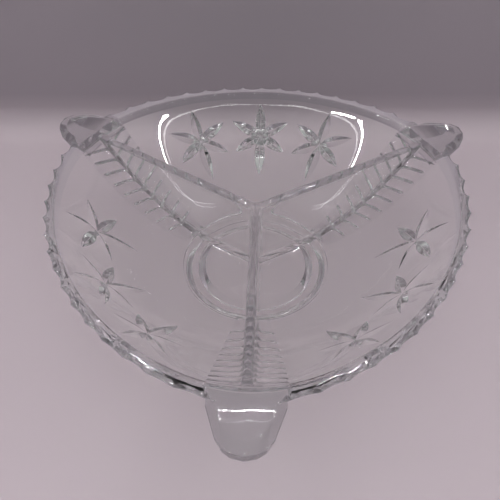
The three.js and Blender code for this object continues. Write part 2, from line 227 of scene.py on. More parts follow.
# Card under and behind the bowl, in metres
CARD_HALF_WIDTH = 0.9
CARD_FRONT = -1.2
CARD_BACK = 0.136
CARD_HEIGHT = 0.5
CARD_BEND = 0.02
CARD_BEND_POINTS = 17
CARD_SHADE_HEIGHT = 0.03
CARD_LYING = (0.49, 0.42, 0.455)
# The standing part's colour is painted shade: the card is darker where it stands up and the light falls on it
# at a grazing angle
CARD_STANDING_PAINTED_SHADE = (0.31, 0.272, 0.303)
CARD_ROUGHNESS = 0.9
CARD_GLOSS = 0.1
BEYOND_CARD = (0.2, 0.175, 0.195)

# Ring lamp, in metres, and the room, whose tones go from the level of the table up to the ceiling
LAMP_RADIUS = 0.2935
LAMP_TUBE = 0.0013
LAMP_HEIGHT = 0.45
LAMP_SIDE = -0.0113
LAMP_FRONT = -0.1437
LAMP_POWER = 9.0
LAMP_SIDES = 8
LAMP_SPANS = 180
ROOM_TONES = [(0.0, (0.13, 0.135, 0.138)), (0.35, (0.38, 0.39, 0.395)), (1.0, (0.72, 0.72, 0.72))]
ROOM_STRENGTH = 0.57
LIGHT_BOUNCES = 32
GLOSSY_BOUNCES = 16
CLEAR_BOUNCES = 64

# Material slots of every piece
GLASS, SEAMED, CUT, RIM, TAB, DEEP, RIBBED = 0, 1, 2, 3, 4, 5, 6

COMPARTMENT_SPAN = 2 * math.pi / ARMS
COMPARTMENT_START = math.pi / 2 - COMPARTMENT_SPAN / 2
FRONT = -math.pi / 2
RIM_SEAM_HEIGHT = RIM_HEIGHT - RIM_BAND
UNDERSIDE = FOOT_HEIGHT + SEAM / 2
FOOT_INNER_RADIUS = FOOT_RADIUS - FOOT_RING_WIDTH


# The inside in section: one curve that leaves the flat floor and steepens towards the rim
FLOOR_TOP = FOOT_HEIGHT + SEAM + WALL_THICKNESS
FLOOR_EDGE = np.array([FLOOR_RADIUS, FLOOR_TOP])
WALL_TURN = np.array([WALL_TURN_RADIUS, FLOOR_TOP])
RIM_INSIDE = np.array([RIM_INNER_RADIUS, RIM_HEIGHT])
SHARES = np.linspace(0, SHARE_LIMIT, SHARE_SAMPLES)


def profile(depth, share):
    """Radius and height of the section at a share of the curve, where depth 1 is inside and 0 outside."""
    s = np.asarray(share, float)[..., None]
    point = (1 - s) ** 2 * FLOOR_EDGE + 2 * s * (1 - s) * WALL_TURN + s ** 2 * RIM_INSIDE
    along = (1 - s) * (WALL_TURN - FLOOR_EDGE) + s * (RIM_INSIDE - WALL_TURN)
    along = along / np.linalg.norm(along, axis=-1, keepdims=True)
    spread = (1 - depth) * WALL_THICKNESS
    return point[..., 0] + along[..., 1] * spread, point[..., 1] - along[..., 0] * spread


def share_at_height(depth, height):
    return np.interp(height, profile(depth, SHARES)[1], SHARES)


def share_at_radius(depth, radius):
    return np.interp(radius, profile(depth, SHARES)[0], SHARES)


RIM_SHARE = float(share_at_height(0, RIM_HEIGHT))
RIM_RADIUS_CORNER = float(profile(0, RIM_SHARE)[0]) + CORNER_REACH


def corner_share(height):
    rise = (np.asarray(height, float) - CORNER_START_HEIGHT) / (RIM_HEIGHT - CORNER_START_HEIGHT)
    return np.maximum(rise, 0) ** CORNER_GROWTH


def swell(azimuth, height):
    """How far the plan swells from round towards its three corners."""
    turn = np.asarray(azimuth) - math.pi / 2
    corner = CORNER_REACH * ((1 - np.cos(ARMS * turn)) / 2) ** CORNER_TIGHTNESS
    shoulder = CORNER_SHOULDER * (1 - np.cos(2 * ARMS * turn)) / 2
    return (corner + shoulder) * corner_share(height)


def on_bowl(radius, height, azimuth):
    reach = radius + swell(azimuth, height)
    return np.stack(np.broadcast_arrays(reach * np.cos(azimuth), reach * np.sin(azimuth), height), -1)


def arm_angle(radius, height, lateral):
    """Angle from an arm's middle line to a point of the bowl at a distance to its side."""
    angle = np.zeros(np.broadcast(radius, height, lateral).shape)
    for _ in range(SOLVE_PASSES):
        angle = np.arcsin(lateral / (radius + swell(FRONT + angle, height)))
    return angle


def on_arm(radius, height, lateral):
    return on_bowl(radius, height, FRONT + arm_angle(radius, height, lateral))


def across_compartment(radius, height, clearance, share):
    """Point at a share of the back compartment, whose ends keep a distance from the arms' middle lines."""
    inset = arm_angle(radius, height, clearance)
    return on_bowl(radius, height, COMPARTMENT_START + inset + (COMPARTMENT_SPAN - 2 * inset) * share)


def arm_radius(radius, height):
    return radius + swell(FRONT, height)


def panel_half_width(radius, height):
    share = (RIM_RADIUS_CORNER - arm_radius(radius, height)) / (RIM_RADIUS_CORNER - FOOT_RADIUS)
    return (PANEL_RIM_WIDTH + (PANEL_ROOT_WIDTH - PANEL_RIM_WIDTH) * share ** 2) / 2


# Dividers: half thickness, top edge and foot
HUB_TOP = RIM_HEIGHT - HUB_TOP_DROP
DIVIDER_END_TOP = RIM_HEIGHT - DIVIDER_END_DROP
DIVIDER_END_SHARE = float(share_at_height(1, DIVIDER_END_TOP - DIVIDER_END_RISE))
DIVIDER_END = float(arm_radius(*profile(1, DIVIDER_END_SHARE)))


def plate_half(height):
    share = (np.asarray(height, float) - FLOOR_TOP) / (RIM_HEIGHT - FLOOR_TOP)
    return (DIVIDER_FLOOR_THICKNESS + (DIVIDER_TOP_THICKNESS - DIVIDER_FLOOR_THICKNESS) * share) / 2


def plate_top(reach):
    return HUB_TOP + (DIVIDER_END_TOP - HUB_TOP) * np.asarray(reach, float) / DIVIDER_END


def foot_fillet(reach, seat):
    """Radius of the fillet at a divider's foot, at most a third of the height that is there."""
    return np.minimum(DIVIDER_FILLET, np.maximum(plate_top(reach) - seat, 0) / ROUNDING_LIMIT)


def foot_half(radius, height):
    """Half width of a divider's foot where it meets the inside of the bowl."""
    return plate_half(height) + foot_fillet(arm_radius(radius, height), height)


def plate_rows(seat, top, fillet):
    """Half thickness and height of each row of a plate's side: foot fillet, drafted side and round edge."""
    edge = np.minimum(DIVIDER_EDGE, (top - seat) / ROUNDING_LIMIT)
    halves, heights = [], []
    for step in range(EDGE_STEPS + 1):
        turn = math.pi / 2 * step / EDGE_STEPS
        heights.append(seat + fillet * (1 - math.cos(turn)))
        halves.append(plate_half(heights[-1]) + fillet * (1 - math.sin(turn)))
    side_low, side_high = heights[-1], top - edge
    for step in range(1, SIDE_STEPS):
        heights.append(side_low + (side_high - side_low) * step / SIDE_STEPS)
        halves.append(plate_half(heights[-1]))
    for step in range(EDGE_STEPS + 1):
        turn = math.pi / 2 * step / EDGE_STEPS
        heights.append(side_high + edge * math.sin(turn))
        halves.append(plate_half(side_high) - edge * (1 - math.cos(turn)))
    return np.array(halves), np.array(heights)


class Skin:
    """Patches that together tile the closed skin of one piece."""

    def __init__(self):
        self.mesh = bmesh.new()

    def patch(self, grid, slot=GLASS, close=False):
        """Quads over a grid of points; slot is one number, or one for each column of quads."""
        rows, columns = len(grid), len(grid[0])
        points = [[self.mesh.verts.new(p) for p in row] for row in grid]
        spans = columns if close else columns - 1
        slots = [slot] * spans if isinstance(slot, int) else slot
        for j in range(rows - 1):
            for i in range(spans):
                k = (i + 1) % columns
                face = self.mesh.faces.new((points[j][i], points[j][k], points[j + 1][k], points[j + 1][i]))
                face.material_index = slots[i]

    def face(self, loop, slot=GLASS):
        self.mesh.faces.new([self.mesh.verts.new(p) for p in loop]).material_index = slot

    def closed(self):
        """The patches welded into one closed body whose faces point out."""
        bmesh.ops.remove_doubles(self.mesh, verts=self.mesh.verts, dist=WELD)
        bmesh.ops.dissolve_degenerate(self.mesh, edges=self.mesh.edges, dist=SLIVER)
        bmesh.ops.recalc_face_normals(self.mesh, faces=self.mesh.faces)
        return self.mesh


def solid_between(outside, inside, top, bottom=SEAMED, ends=SEAMED, inside_slots=GLASS, outside_slot=GLASS):
    """Closed skin between two grids of the same size, whose rows run upwards."""
    skin = Skin()
    skin.patch(outside, outside_slot)
    skin.patch(inside, inside_slots)
    skin.patch([outside[0], inside[0]], bottom)
    skin.patch([outside[-1], inside[-1]], top)
    for column in (0, -1):
        skin.patch([[row[column] for row in outside], [row[column] for row in inside]], ends)
    return skin.closed()


# Foot ring and floor
def arc(centre, radius, start, end, steps):
    turns = [math.radians(start + (end - start) * k / steps) for k in range(steps + 1)]
    return [(centre[0] + radius * math.cos(t), centre[1] + radius * math.sin(t)) for t in turns]


def turned(section, slots):
    """Section points turned about the axis, with one slot for each band between them."""
    skin = Skin()
    azimuths = np.linspace(0, 2 * math.pi, ROUND_SIDES, endpoint=False)
    rings = [[(r * math.cos(a), r * math.sin(a), z) for a in azimuths] for r, z in section]
    for k, slot in enumerate(slots):
        skin.patch([rings[k], rings[(k + 1) % len(rings)]], slot, close=True)
    return skin.closed()


def eased(start, corner, end):
    """Points of a corner that is rounded from a start to an end."""
    a, b, c = (np.array(p) for p in (start, corner, end))
    steps = np.linspace(0, 1, EDGE_STEPS + 1)
    return [tuple((1 - t) ** 2 * a + 2 * t * (1 - t) * b + t ** 2 * c) for t in steps]


def foot_ring():
    inner, outer = FOOT_INNER_RADIUS + FOOT_DRAFT, FOOT_RADIUS - FOOT_DRAFT
    section = [(FOOT_INNER_RADIUS, UNDERSIDE)]
    section += eased((inner, FOOT_EDGE), (inner, 0), (inner + FOOT_EDGE, 0))
    section += eased((outer - FOOT_EDGE, 0), (outer, 0), (outer, FOOT_EDGE))
    shoulder = (FOOT_RADIUS - FOOT_FILLET, UNDERSIDE - FOOT_FILLET / 2)
    section += eased(shoulder, (FOOT_RADIUS - FOOT_FILLET / 2, UNDERSIDE), (FOOT_RADIUS, UNDERSIDE))
    return turned(section, [GLASS] * (len(section) - 1) + [SEAMED])


def floor_ring(radius, height):
    """Points round the bowl, with the same columns under each divider and across each compartment."""
    half = foot_half(radius, height)
    foot = on_arm(radius, height, np.linspace(-half, half, FOOT_COLUMNS + 1)[:-1])
    shares = np.arange(FLOOR_COLUMNS) / FLOOR_COLUMNS
    span = across_compartment(radius, height, half, shares) @ turn_matrix(-1).T
    third = np.concatenate([foot, span])
    return np.concatenate([third @ turn_matrix(k).T for k in range(ARMS)])


def turn_matrix(thirds):
    angle = thirds * COMPARTMENT_SPAN
    c, s = math.cos(angle), math.sin(angle)
    return np.array([[c, -s, 0], [s, c, 0], [0, 0, 1]])


def hub_third(half):
    """Side of the hub from the front arm to the next: the corner fillet between two arms, in plan."""
    bisector = COMPARTMENT_SPAN / 2
    distance = (half + HUB_FILLET) / math.sin(bisector)
    centre = (distance * math.cos(bisector), distance * math.sin(bisector))
    start = -90.0
    sweep = math.degrees(math.pi - COMPARTMENT_SPAN)
    points = [(HUB_REACH, half)] + arc(centre, HUB_FILLET, start, start - sweep, HUB_CORNER_STEPS)
    turn = np.array([[math.cos(FRONT), -math.sin(FRONT)], [math.sin(FRONT), math.cos(FRONT)]])
    return np.array(points) @ turn.T


def hub_section(half, height):
    near_side = [[-half, -HUB_REACH]]
    whole = np.concatenate([near_side, hub_third(half)])
    flat = np.column_stack([whole, np.full(len(whole), height)])
    return np.concatenate([flat @ turn_matrix(k).T for k in range(ARMS)])


def bowl_floor():
    skin = Skin()
    outside = profile(0, share_at_radius(0, FOOT_RADIUS))
    lip_end = share_at_radius(1, FOOT_RADIUS)
    lip = [profile(1, lip_end * (1 - k / LIP_ROWS)) for k in range(LIP_ROWS + 1)]
    rings = [floor_ring(FOOT_INNER_RADIUS, UNDERSIDE), floor_ring(FOOT_RADIUS, UNDERSIDE)]
    rings += [floor_ring(FOOT_RADIUS, float(outside[1]))]
    rings += [floor_ring(float(r), float(z)) for r, z in lip]
    skin.face(rings[0])
    skin.patch(rings[0:2], SEAMED, close=True)
    skin.patch(rings[1:3], GLASS, close=True)
    skin.patch(rings[2:4], SEAMED, close=True)
    skin.patch(rings[3:], ([SEAMED] * FOOT_COLUMNS + [GLASS] * FLOOR_COLUMNS) * ARMS, close=True)
    edge = rings[-1]
    columns = FOOT_COLUMNS + FLOOR_COLUMNS
    half = float(foot_half(FLOOR_RADIUS, FLOOR_TOP))
    corner = np.column_stack([hub_third(half), np.full(HUB_CORNER_STEPS + 2, FLOOR_TOP)])
    star = []
    for k in range(ARMS):
        turn = turn_matrix(k)
        start = k * columns + FOOT_COLUMNS
        arc_points = [edge[(start + i) % len(edge)] for i in range(FLOOR_COLUMNS + 1)]
        inner = list(corner @ turn.T)
        skin.face(arc_points + inner[::-1])
        star += [edge[k * columns + i] for i in range(FOOT_COLUMNS + 1)] + inner
    skin.face(star, SEAMED)
    return skin.closed()


def divider_hub():
    skin = Skin()
    fillet = float(foot_fillet(HUB_REACH, FLOOR_TOP))
    halves, heights = plate_rows(FLOOR_TOP, HUB_TOP_AT_REACH, fillet)
    rows = [hub_section(float(h), float(z)) for h, z in zip(halves, heights)]
    third = len(rows[0]) // ARMS
    skin.patch(rows, ([SEAMED] + [GLASS] * (third - 1)) * ARMS, close=True)
    skin.face(rows[0], SEAMED)
    skin.face(rows[-1], DEEP)
    return skin.closed()


HUB_TOP_AT_REACH = float(plate_top(HUB_REACH))


def plate_slots(points):
    """Slots across a plate's section, whose top is looked through along the plate's height."""
    top = 2 * EDGE_STEPS + 1
    side = (points - 1 - top) // 2
    return [GLASS] * side + [DEEP] * top + [GLASS] * side


def divider_plate():
    reaches = list(np.linspace(HUB_REACH, FLOOR_RADIUS, PLATE_FLOOR_STEPS + 1)[:-1])
    seats = [FLOOR_TOP] * PLATE_FLOOR_STEPS
    for share in np.linspace(0, DIVIDER_END_SHARE, PLATE_WALL_STEPS + 1):
        radius, height = (float(v) for v in profile(1, share))
        half = float(foot_half(radius, height))
        reaches.append(-float(on_arm(radius, height, half)[1]))
        seats.append(height)
    stations = []
    for reach, seat in zip(reaches, seats):
        top = float(plate_top(reach))
        halves, heights = plate_rows(seat, top, float(foot_fillet(reach, seat)))
        right = [(h, -reach, z) for h, z in zip(halves, heights)]
        left = [(-x, y, z) for x, y, z in reversed(right)]
        stations.append(right + left)
    skin = Skin()
    skin.patch(stations, plate_slots(len(stations[0])))
    skin.patch([[s[0], s[-1]] for s in stations], SEAMED)
    skin.face(stations[0], SEAMED)
    skin.face(stations[-1])
    return skin.closed()


# Walls with star cuts
def compartment_wall():
    rows = []
    shares = np.linspace(0, 1, WALL_COLUMNS + 1)
    for depth in (0, 1):
        low, high = share_at_radius(depth, FOOT_RADIUS), share_at_height(depth, RIM_SEAM_HEIGHT)
        grid = []
        for share in np.linspace(low, high, WALL_ROWS + 1):
            radius, height = profile(depth, share)
            grid.append(across_compartment(radius, height, panel_half_width(radius, height), shares))
        rows.append(grid)
    return solid_between(rows[0], rows[1], top=SEAMED)


STAR_SHARE = float(share_at_radius(0, STAR_RADIUS))


def outside_at(share, azimuth):
    return on_bowl(*profile(0, share), azimuth)


def wall_normal(share, azimuth):
    up = outside_at(share + PROBE, azimuth) - outside_at(share - PROBE, azimuth)
    around = outside_at(share, azimuth + PROBE) - outside_at(share, azimuth - PROBE)
    normal = np.cross(around, up)
    return normal / np.linalg.norm(normal)


def leaf_width(station):
    """Half width of a ray along its length: pointed at both ends and widest before its middle."""
    if not 0 < station < 1:
        return LEAF_TIP
    return RAY_WIDTH / 2 * math.sin(math.pi * station ** LEAF_LEAN) ** LEAF_FULLNESS


def v_groove(places, slot):
    """Cutter with a V section along places: a point, the ways across and out, a half width and a slope."""
    skin = Skin()
    rows = []
    for point, across, outward, half, slope in places:
        reach = half + CUT_SPREAD
        mouth = point + outward * CUT_SPREAD * slope
        rows.append([mouth - across * reach, mouth + across * reach, point - outward * half * slope])
    skin.patch(rows, slot, close=True)
    skin.face(rows[0], slot)
    skin.face(rows[-1], slot)
    return skin.closed()


def star_ray(middle, ray):
    centre = outside_at(STAR_SHARE, middle)
    mm_per_share = np.linalg.norm(outside_at(STAR_SHARE + PROBE, middle) - centre) / PROBE
    heading = 2 * math.pi * ray / STAR_RAYS
    length = LONG_RAY_LENGTH if ray == STAR_RAYS // 2 else RAY_LENGTH

    def place(distance):
        share = STAR_SHARE + distance * math.cos(heading) / mm_per_share
        return share, middle + distance * math.sin(heading) / STAR_RADIUS

    places = []
    for station in LEAF_STATIONS:
        distance = station * length
        share, azimuth = place(distance)
        along = outside_at(*place(distance + PROBE)) - outside_at(*place(distance - PROBE))
        outward = wall_normal(share, azimuth)
        across = np.cross(along, outward)
        across /= np.linalg.norm(across)
        places.append((outside_at(share, azimuth), across, outward, leaf_width(station), RAY_SLOPE))
    return v_groove(places, CUT)


def star_cutters():
    cutters = []
    for star in range(STARS_PER_WALL):
        middle = math.pi / 2 + (star - (STARS_PER_WALL - 1) / 2) * STAR_SPACING
        cutters += [star_ray(middle, ray) for ray in range(STAR_RAYS)]
    return cutters


# Ribbed panels
SIDE_SHARES = np.arange(PANEL_SIDE_COLUMNS) / PANEL_SIDE_COLUMNS
MIDDLE_SHARES = np.linspace(-1, 1, FOOT_COLUMNS + 1)
HALF_WEIGHTS = np.concatenate([SIDE_SHARES - 1, 0 * MIDDLE_SHARES, 1 - SIDE_SHARES[::-1]])
FOOT_WEIGHTS = np.concatenate([-SIDE_SHARES, MIDDLE_SHARES, SIDE_SHARES[::-1]])


def panel_columns(half, foot):
    """Lateral places across an arm, with the divider's foot in the middle."""
    return HALF_WEIGHTS * half + FOOT_WEIGHTS * foot


FOOT_SLOTS = [GLASS] * PANEL_SIDE_COLUMNS + [SEAMED] * FOOT_COLUMNS + [GLASS] * PANEL_SIDE_COLUMNS


def rib_groove(phase):
    """Depth under the crest at a phase of one rib, whose rounded back lies between two narrow cuts."""
    cut = max(1 - min(phase, 1 - phase) / RIB_CUT_SHARE, 0)
    return RIB_ROUNDING * (1 - math.sin(math.pi * phase) ** RIB_FULLNESS) + RIB_CUT * cut


def panel_row(depth, along, groove=0.0):
    """Points across a panel along one rib, which climbs towards the rim on both sides of the divider."""
    low, high = share_at_radius(depth, FOOT_RADIUS), share_at_height(depth, RIM_SEAM_HEIGHT)
    climb = RIB_CLIMB / PANEL_LENGTH * min(along, 1 - along, RIB_CLIMB_FADE) / RIB_CLIMB_FADE
    places = np.full(len(HALF_WEIGHTS), along)
    for _ in range(SOLVE_PASSES):
        share = low + (high - low) * places
        radius, height = profile(depth, share)
        half = panel_half_width(radius, height)
        laterals = panel_columns(half, foot_half(radius, height))
        places = along + climb * np.abs(laterals)
    if groove:
        run_out = np.clip((half - np.abs(laterals)) / RIB_RUN_OUT, 0, 1)
        cuts = [profile(g, s) for g, s in zip(groove * run_out / WALL_THICKNESS, share)]
        radius, height = (np.array(values, float) for values in zip(*cuts))
    return on_arm(radius, height, laterals)


def ribbed_panel():
    steps = PANEL_RIBS * RIB_STEPS
    outside, inside = [], []
    for step in range(steps + 1):
        along = (step / steps) ** RIB_SPREAD
        outside.append(panel_row(0, along, rib_groove((step % RIB_STEPS) / RIB_STEPS)))
        inside.append(panel_row(1, along))
    return solid_between(outside, inside, top=SEAMED, inside_slots=FOOT_SLOTS, outside_slot=RIBBED)


# Rim bands
def rim_notch(share):
    """Depth of the scallops along a rim band, which meet in small raised points."""
    place = share * RIM_TEETH
    scallop = math.sin(math.pi * (place % 1.0)) ** NOTCH_SHARPNESS
    uneven = 1 + NOTCH_VARIATION * math.sin(NOTCH_VARIATION_STEP * math.floor(place) ** NOTCH_VARIATION_DRIFT)
    return NOTCH_DEPTH * uneven * scallop


def rim_flare(share):
    """How far the rim's outside stands out along a band, more towards the handles."""
    return RIM_FLARE + (RIM_END_FLARE - RIM_FLARE) * abs(2 * share - 1)


def rim_outside(notch, flare):
    """Outside of the rim in section, from its seam up to the crest, at a notch's depth and a flare."""
    low, high = share_at_height(0, RIM_SEAM_HEIGHT), share_at_height(0, RIM_HEIGHT - RIM_LIP)
    section = []
    for row in range(RIM_ROWS):
        rise = row / RIM_ROWS
        cut = NOTCH_LIP_SHARE * notch * rise ** NOTCH_RUN_OUT
        radius, height = profile(0, low + (high - low) * row / RIM_ROWS)
        section.append((float(radius) + flare * rise ** FLARE_ONSET - cut, float(height) - cut))
    lip_low = np.array(profile(0, high)) - NOTCH_LIP_SHARE * notch + [flare, 0]
    lip_corner = np.array([float(profile(0, RIM_SHARE)[0]) + flare, RIM_HEIGHT]) - notch
    return section + eased(lip_low, lip_corner, lip_corner - [RIM_LIP, 0])


def rim_band():
    columns = []
    steps = RIM_TEETH * TOOTH_STEPS
    half = HANDLE_ROOT_WIDTH / 2
    low_in, high_in = share_at_height(1, RIM_SEAM_HEIGHT), share_at_height(1, RIM_HEIGHT - RIM_EDGE)
    inner_top = float(profile(1, share_at_height(1, RIM_HEIGHT))[0])
    for step in range(steps + 1):
        share = step / steps
        section = rim_outside(rim_notch(share), rim_flare(share))
        crown_end = (inner_top + RIM_EDGE, RIM_HEIGHT - RIM_CROWN)
        crown_start = (section[-1][0] - RIM_SHOULDER, RIM_HEIGHT - RIM_CROWN / 2)
        section += eased(crown_start, ((crown_start[0] + crown_end[0]) / 2, RIM_HEIGHT), crown_end)
        outside_spans = len(section) - 1
        section += eased(crown_end, (inner_top, RIM_HEIGHT - RIM_CROWN), profile(1, high_in))[1:]
        for row in range(1, RIM_ROWS + 1):
            radius, height = profile(1, high_in + (low_in - high_in) * row / RIM_ROWS)
            section.append((float(radius), float(height)))
        columns.append([across_compartment(r, z, half, share) for r, z in section])
    skin = Skin()
    skin.patch(columns, [RIM] * outside_spans + [GLASS] * (len(columns[0]) - 1 - outside_spans))
    skin.patch([[c[0], c[-1]] for c in columns], SEAMED)
    skin.face(columns[0], SEAMED)
    skin.face(columns[-1], SEAMED)
    return skin.closed()


# Tab handles, where reach is measured outwards from the rim line
def on_tongue(lateral, reach, height):
    return np.array([lateral, -RIM_RADIUS_CORNER - reach, height])


def hull(points):
    skin = bmesh.new()
    for point in points:
        skin.verts.new(point)
    bmesh.ops.remove_doubles(skin, verts=skin.verts, dist=WELD)
    bmesh.ops.convex_hull(skin, input=skin.verts)
    bmesh.ops.delete(skin, geom=[v for v in skin.verts if not v.link_faces], context="VERTS")
    bmesh.ops.dissolve_limit(skin, angle_limit=HULL_FLAT_ANGLE, verts=skin.verts, edges=skin.edges)
    return skin


def tongue():
    """Flat faces that lean from the tongue's upright edge to the narrow land around the scoop."""
    foot = RIM_SEAM_HEIGHT + HULL_LIFT
    edge_tops = [foot + share * (RIM_HEIGHT - foot) for share in EDGE_HEIGHTS]
    root_width = HANDLE_ROOT_WIDTH - 2 * HULL_LIFT
    places = []
    for w, r, top in zip(EDGE_WIDTHS, EDGE_REACHES, edge_tops):
        places += [(w * root_width, r * HANDLE_REACH, height) for height in (foot, top)]
    places += [(root_width, -HANDLE_ROOT_DEPTH, height) for height in (foot, edge_tops[0])]
    lands = [w * SCOOP_WIDTH + 2 * SCOOP_LAND for w in SCOOP_WIDTHS]
    places.append((lands[0], -HANDLE_ROOT_DEPTH, RIM_HEIGHT))
    places += [(w, r * SCOOP_REACH, RIM_HEIGHT) for w, r in zip(lands, SCOOP_REACHES)]
    places.append((0, SCOOP_REACH + SCOOP_LAND, RIM_HEIGHT))
    sides = (-1, 1)
    return hull([on_tongue(side * w / 2, reach, height) for w, reach, height in places for side in sides])


def corner_block():
    """The rim's outside carried across the corner, between the two rim bands."""
    laterals = np.linspace(-HANDLE_ROOT_WIDTH / 2, HANDLE_ROOT_WIDTH / 2, CORNER_COLUMNS + 1)
    outside = [on_arm(radius, height, laterals) for radius, height in rim_outside(0.0, RIM_END_FLARE)]
    inside = [row + [0, HANDLE_ROOT_DEPTH, 0] for row in outside]
    return solid_between(outside, inside, top=GLASS)


def inside_at_corner():
    """The space inside the wall at the corner, marked where the divider's end meets it."""
    end = DIVIDER_END_TOP - DIVIDER_END_RISE
    beyond = RIM_BAND / 2
    bands = [
        (np.linspace(RIM_SEAM_HEIGHT - beyond, RIM_SEAM_HEIGHT, CORNER_SEAM_ROWS), GLASS),
        (np.linspace(RIM_SEAM_HEIGHT, end, HANDLE_ROWS + 1), FOOT_SLOTS),
        (np.linspace(end, RIM_HEIGHT + beyond, HANDLE_ROWS + 1), GLASS),
    ]
    skin = Skin()
    grid = []
    for heights, slots in bands:
        rows = []
        for height in heights:
            radius, _ = profile(1, share_at_height(1, height))
            foot = float(foot_half(*profile(1, share_at_height(1, min(height, end)))))
            rows.append(on_arm(radius, height, panel_columns(HANDLE_ROOT_WIDTH, foot)))
        skin.patch(rows, slots)
        grid += rows if not grid else rows[1:]
    deep = [row + [0, 2 * HANDLE_ROOT_DEPTH, 0] for row in grid]
    skin.patch(deep)
    for row in (0, -1):
        skin.patch([grid[row], deep[row]])
    for column in (0, -1):
        skin.patch([[row[column] for row in grid], [row[column] for row in deep]])
    return skin.closed()


def thumb_scoop():
    """Shield-shaped scoop with a crease, which opens into the bowl and rises along a curve to its tip."""
    known_reaches = [-SCOOP_INSET, -SCOOP_FLARE_INSET] + [r * SCOOP_REACH for r in SCOOP_REACHES]
    known_widths = [SCOOP_FLARE, SCOOP_FLARE] + SCOOP_WIDTHS
    across, _, up = np.eye(3)
    places = []
    for reach in np.linspace(-SCOOP_INSET, SCOOP_REACH, SCOOP_STATIONS):
        rise = max(reach - SCOOP_LOW_REACH, 0) / (SCOOP_REACH - SCOOP_LOW_REACH)
        bow = SCOOP_BOW * min(reach - SCOOP_LOW_REACH, 0) ** 2
        depth = max(SCOOP_DEPTH * (1 - rise ** SCOOP_RISE) - bow, SCOOP_TIP_DEPTH)
        half = np.interp(reach, known_reaches, known_widths) * SCOOP_WIDTH / 2
        places.append((on_tongue(0, reach, RIM_HEIGHT), across, up, half, depth / half))
    return v_groove(places, GLASS)


def undercut():
    """Wedge that thins the tongue from below towards its nose."""
    foot = RIM_SEAM_HEIGHT + HULL_LIFT
    beyond = 2 * HANDLE_REACH
    below, nose = foot - RIM_BAND, foot + 2 * HANDLE_UNDERCUT
    corners = [(0, below), (beyond, below), (beyond, nose), (0, foot)]
    sides = (-HANDLE_ROOT_WIDTH, HANDLE_ROOT_WIDTH)
    return hull([on_tongue(side, reach, height) for reach, height in corners for side in sides])


def tab_handle():
    skin = carved(tongue(), [corner_block()], "UNION")
    skin = carved(skin, [inside_at_corner(), thumb_scoop(), undercut()])
    # Handle faces get the tab glass, whose grey tint is painted shade
    for face in skin.faces:
        if face.material_index == GLASS:
            face.material_index = TAB
    return skin


# Procedural glass
def noise_node(nodes, scale, detail):
    noise = nodes.new("ShaderNodeTexNoise")
    noise.inputs["Scale"].default_value = scale
    noise.inputs["Detail"].default_value = detail
    return noise


def glass_material(name, colour, ripple_scale, ripple_height, haze, shade, edge):
    """Clear glass with a faint ripple, a slightly uneven polish and, where a radius is set, soft edges."""
    material = bpy.data.materials.new(name)
    material.use_nodes = True
    nodes, links = material.node_tree.nodes, material.node_tree.links
    shader = nodes["Principled BSDF"]
    shader.inputs["Base Color"].default_value = (*colour, 1)
    shader.inputs["Transmission Weight"].default_value = 1.0
    shader.inputs["IOR"].default_value = GLASS_IOR
    place = nodes.new("ShaderNodeTexCoord")
    ripple = noise_node(nodes, ripple_scale, RIPPLE_DETAIL)
    polish = noise_node(nodes, ripple_scale * POLISH_FINENESS, POLISH_DETAIL)
    bump = nodes.new("ShaderNodeBump")
    bump.inputs["Strength"].default_value = 1.0
    bump.inputs["Distance"].default_value = ripple_height
    spread = nodes.new("ShaderNodeMapRange")
    spread.inputs["To Min"].default_value = 0.0
    spread.inputs["To Max"].default_value = haze
    links.new(place.outputs["Object"], ripple.inputs["Vector"])
    links.new(place.outputs["Object"], polish.inputs["Vector"])
    links.new(ripple.outputs["Fac"], bump.inputs["Height"])
    if edge:
        rounding = nodes.new("ShaderNodeBevel")
        rounding.samples = EDGE_SAMPLES
        rounding.inputs["Radius"].default_value = edge
        links.new(rounding.outputs["Normal"], bump.inputs["Normal"])
    links.new(bump.outputs["Normal"], shader.inputs["Normal"])
    links.new(polish.outputs["Fac"], spread.inputs["Value"])
    links.new(spread.outputs["Result"], shader.inputs["Roughness"])
    lamp_side = nodes.new("ShaderNodeBsdfTransparent")
    lamp_side.inputs["Color"].default_value = (shade, shade, shade, 1)
    rays = nodes.new("ShaderNodeLightPath")
    mix = nodes.new("ShaderNodeMixShader")
    links.new(rays.outputs["Is Shadow Ray"], mix.inputs[0])
    links.new(shader.outputs["BSDF"], mix.inputs[1])
    links.new(lamp_side.outputs["BSDF"], mix.inputs[2])
    links.new(mix.outputs["Shader"], nodes["Material Output"].inputs["Surface"])
    return material


def seam_material():
    """Where two features of the pressing meet, the glass runs on, so nothing shows there."""
    material = bpy.data.materials.new("seam_inside_glass")
    material.use_nodes = True
    nodes, links = material.node_tree.nodes, material.node_tree.links
    nodes.remove(nodes["Principled BSDF"])
    clear = nodes.new("ShaderNodeBsdfTransparent")
    links.new(clear.outputs["BSDF"], nodes["Material Output"].inputs["Surface"])
    return material


# Pieces in the frame
materials = [glass_material(name, *values) for name, values in GLASSES.items()]
materials.insert(SEAMED, seam_material())


def mesh_object(name, skin):
    mesh = bpy.data.meshes.new(name)
    skin.to_mesh(mesh)
    made = bpy.data.objects.new(name, mesh)
    bpy.context.scene.collection.objects.link(made)
    for material in materials:
        mesh.materials.append(material)
    return made


def carved(skin, cutters, operation="DIFFERENCE"):
    """A piece's skin with cutters taken out of it, or joined to it."""
    piece = mesh_object("carving", skin)
    tools = [mesh_object(f"cutter_{k}", cutter) for k, cutter in enumerate(cutters)]
    for tool in tools:
        step = piece.modifiers.new(tool.name, "BOOLEAN")
        step.operation = operation
        step.solver = "MANIFOLD"
        step.object = tool
    ready = piece.evaluated_get(bpy.context.evaluated_depsgraph_get())
    result = bmesh.new()
    result.from_mesh(ready.to_mesh())
    for spare in [piece, *tools]:
        data = spare.data
        bpy.data.objects.remove(spare)
        bpy.data.meshes.remove(data)
    return result


